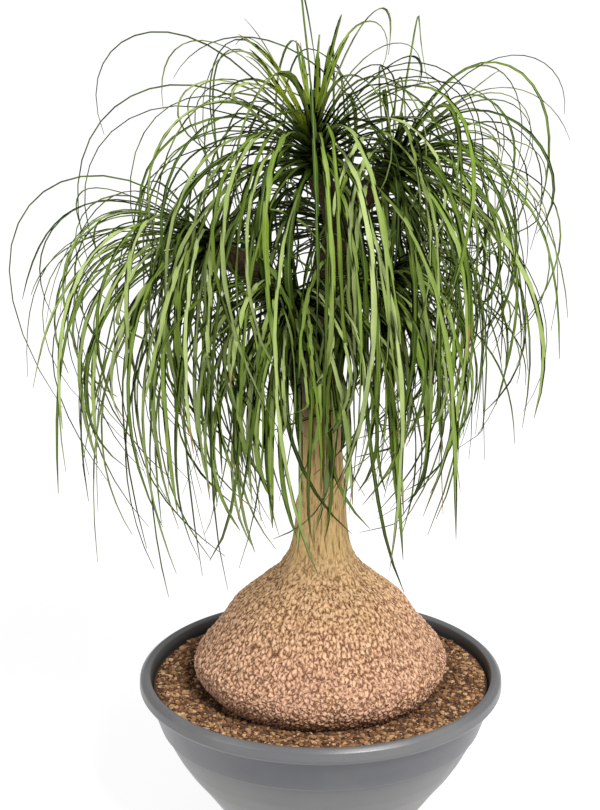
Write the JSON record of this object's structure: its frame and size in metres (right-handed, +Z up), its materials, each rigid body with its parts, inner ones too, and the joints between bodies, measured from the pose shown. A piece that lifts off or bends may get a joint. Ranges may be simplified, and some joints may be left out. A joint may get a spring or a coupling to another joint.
{
  "type": "potted ponytail palm",
  "caption": "Ponytail palm in a round bowl pot: a swollen barked stem forks into short branches, each with a head of long arching leaves over a gritty soil surface.",
  "frame": {"origin": "middle of the pot's underside, on the surface it stands on", "axes": "+Z up along the stem, -Y towards the plant's front, +X to the right seen from the front"},
  "size_m": [0.5392, 0.5039, 0.8444],
  "materials": {
    "grey_plastic": "satin",
    "brown_grit": "matte",
    "tan_bark": "matte",
    "green_leaf": "satin"
  },
  "bodies": {
    "root": {"pot": "grey_plastic", "soil": "brown_grit", "stem": "tan_bark", "head_top": "green_leaf", "head_right": "green_leaf", "head_left": "green_leaf", "head_front": "green_leaf", "head_back": "green_leaf", "head_low_right": "green_leaf"}
  },
  "joints": []
}
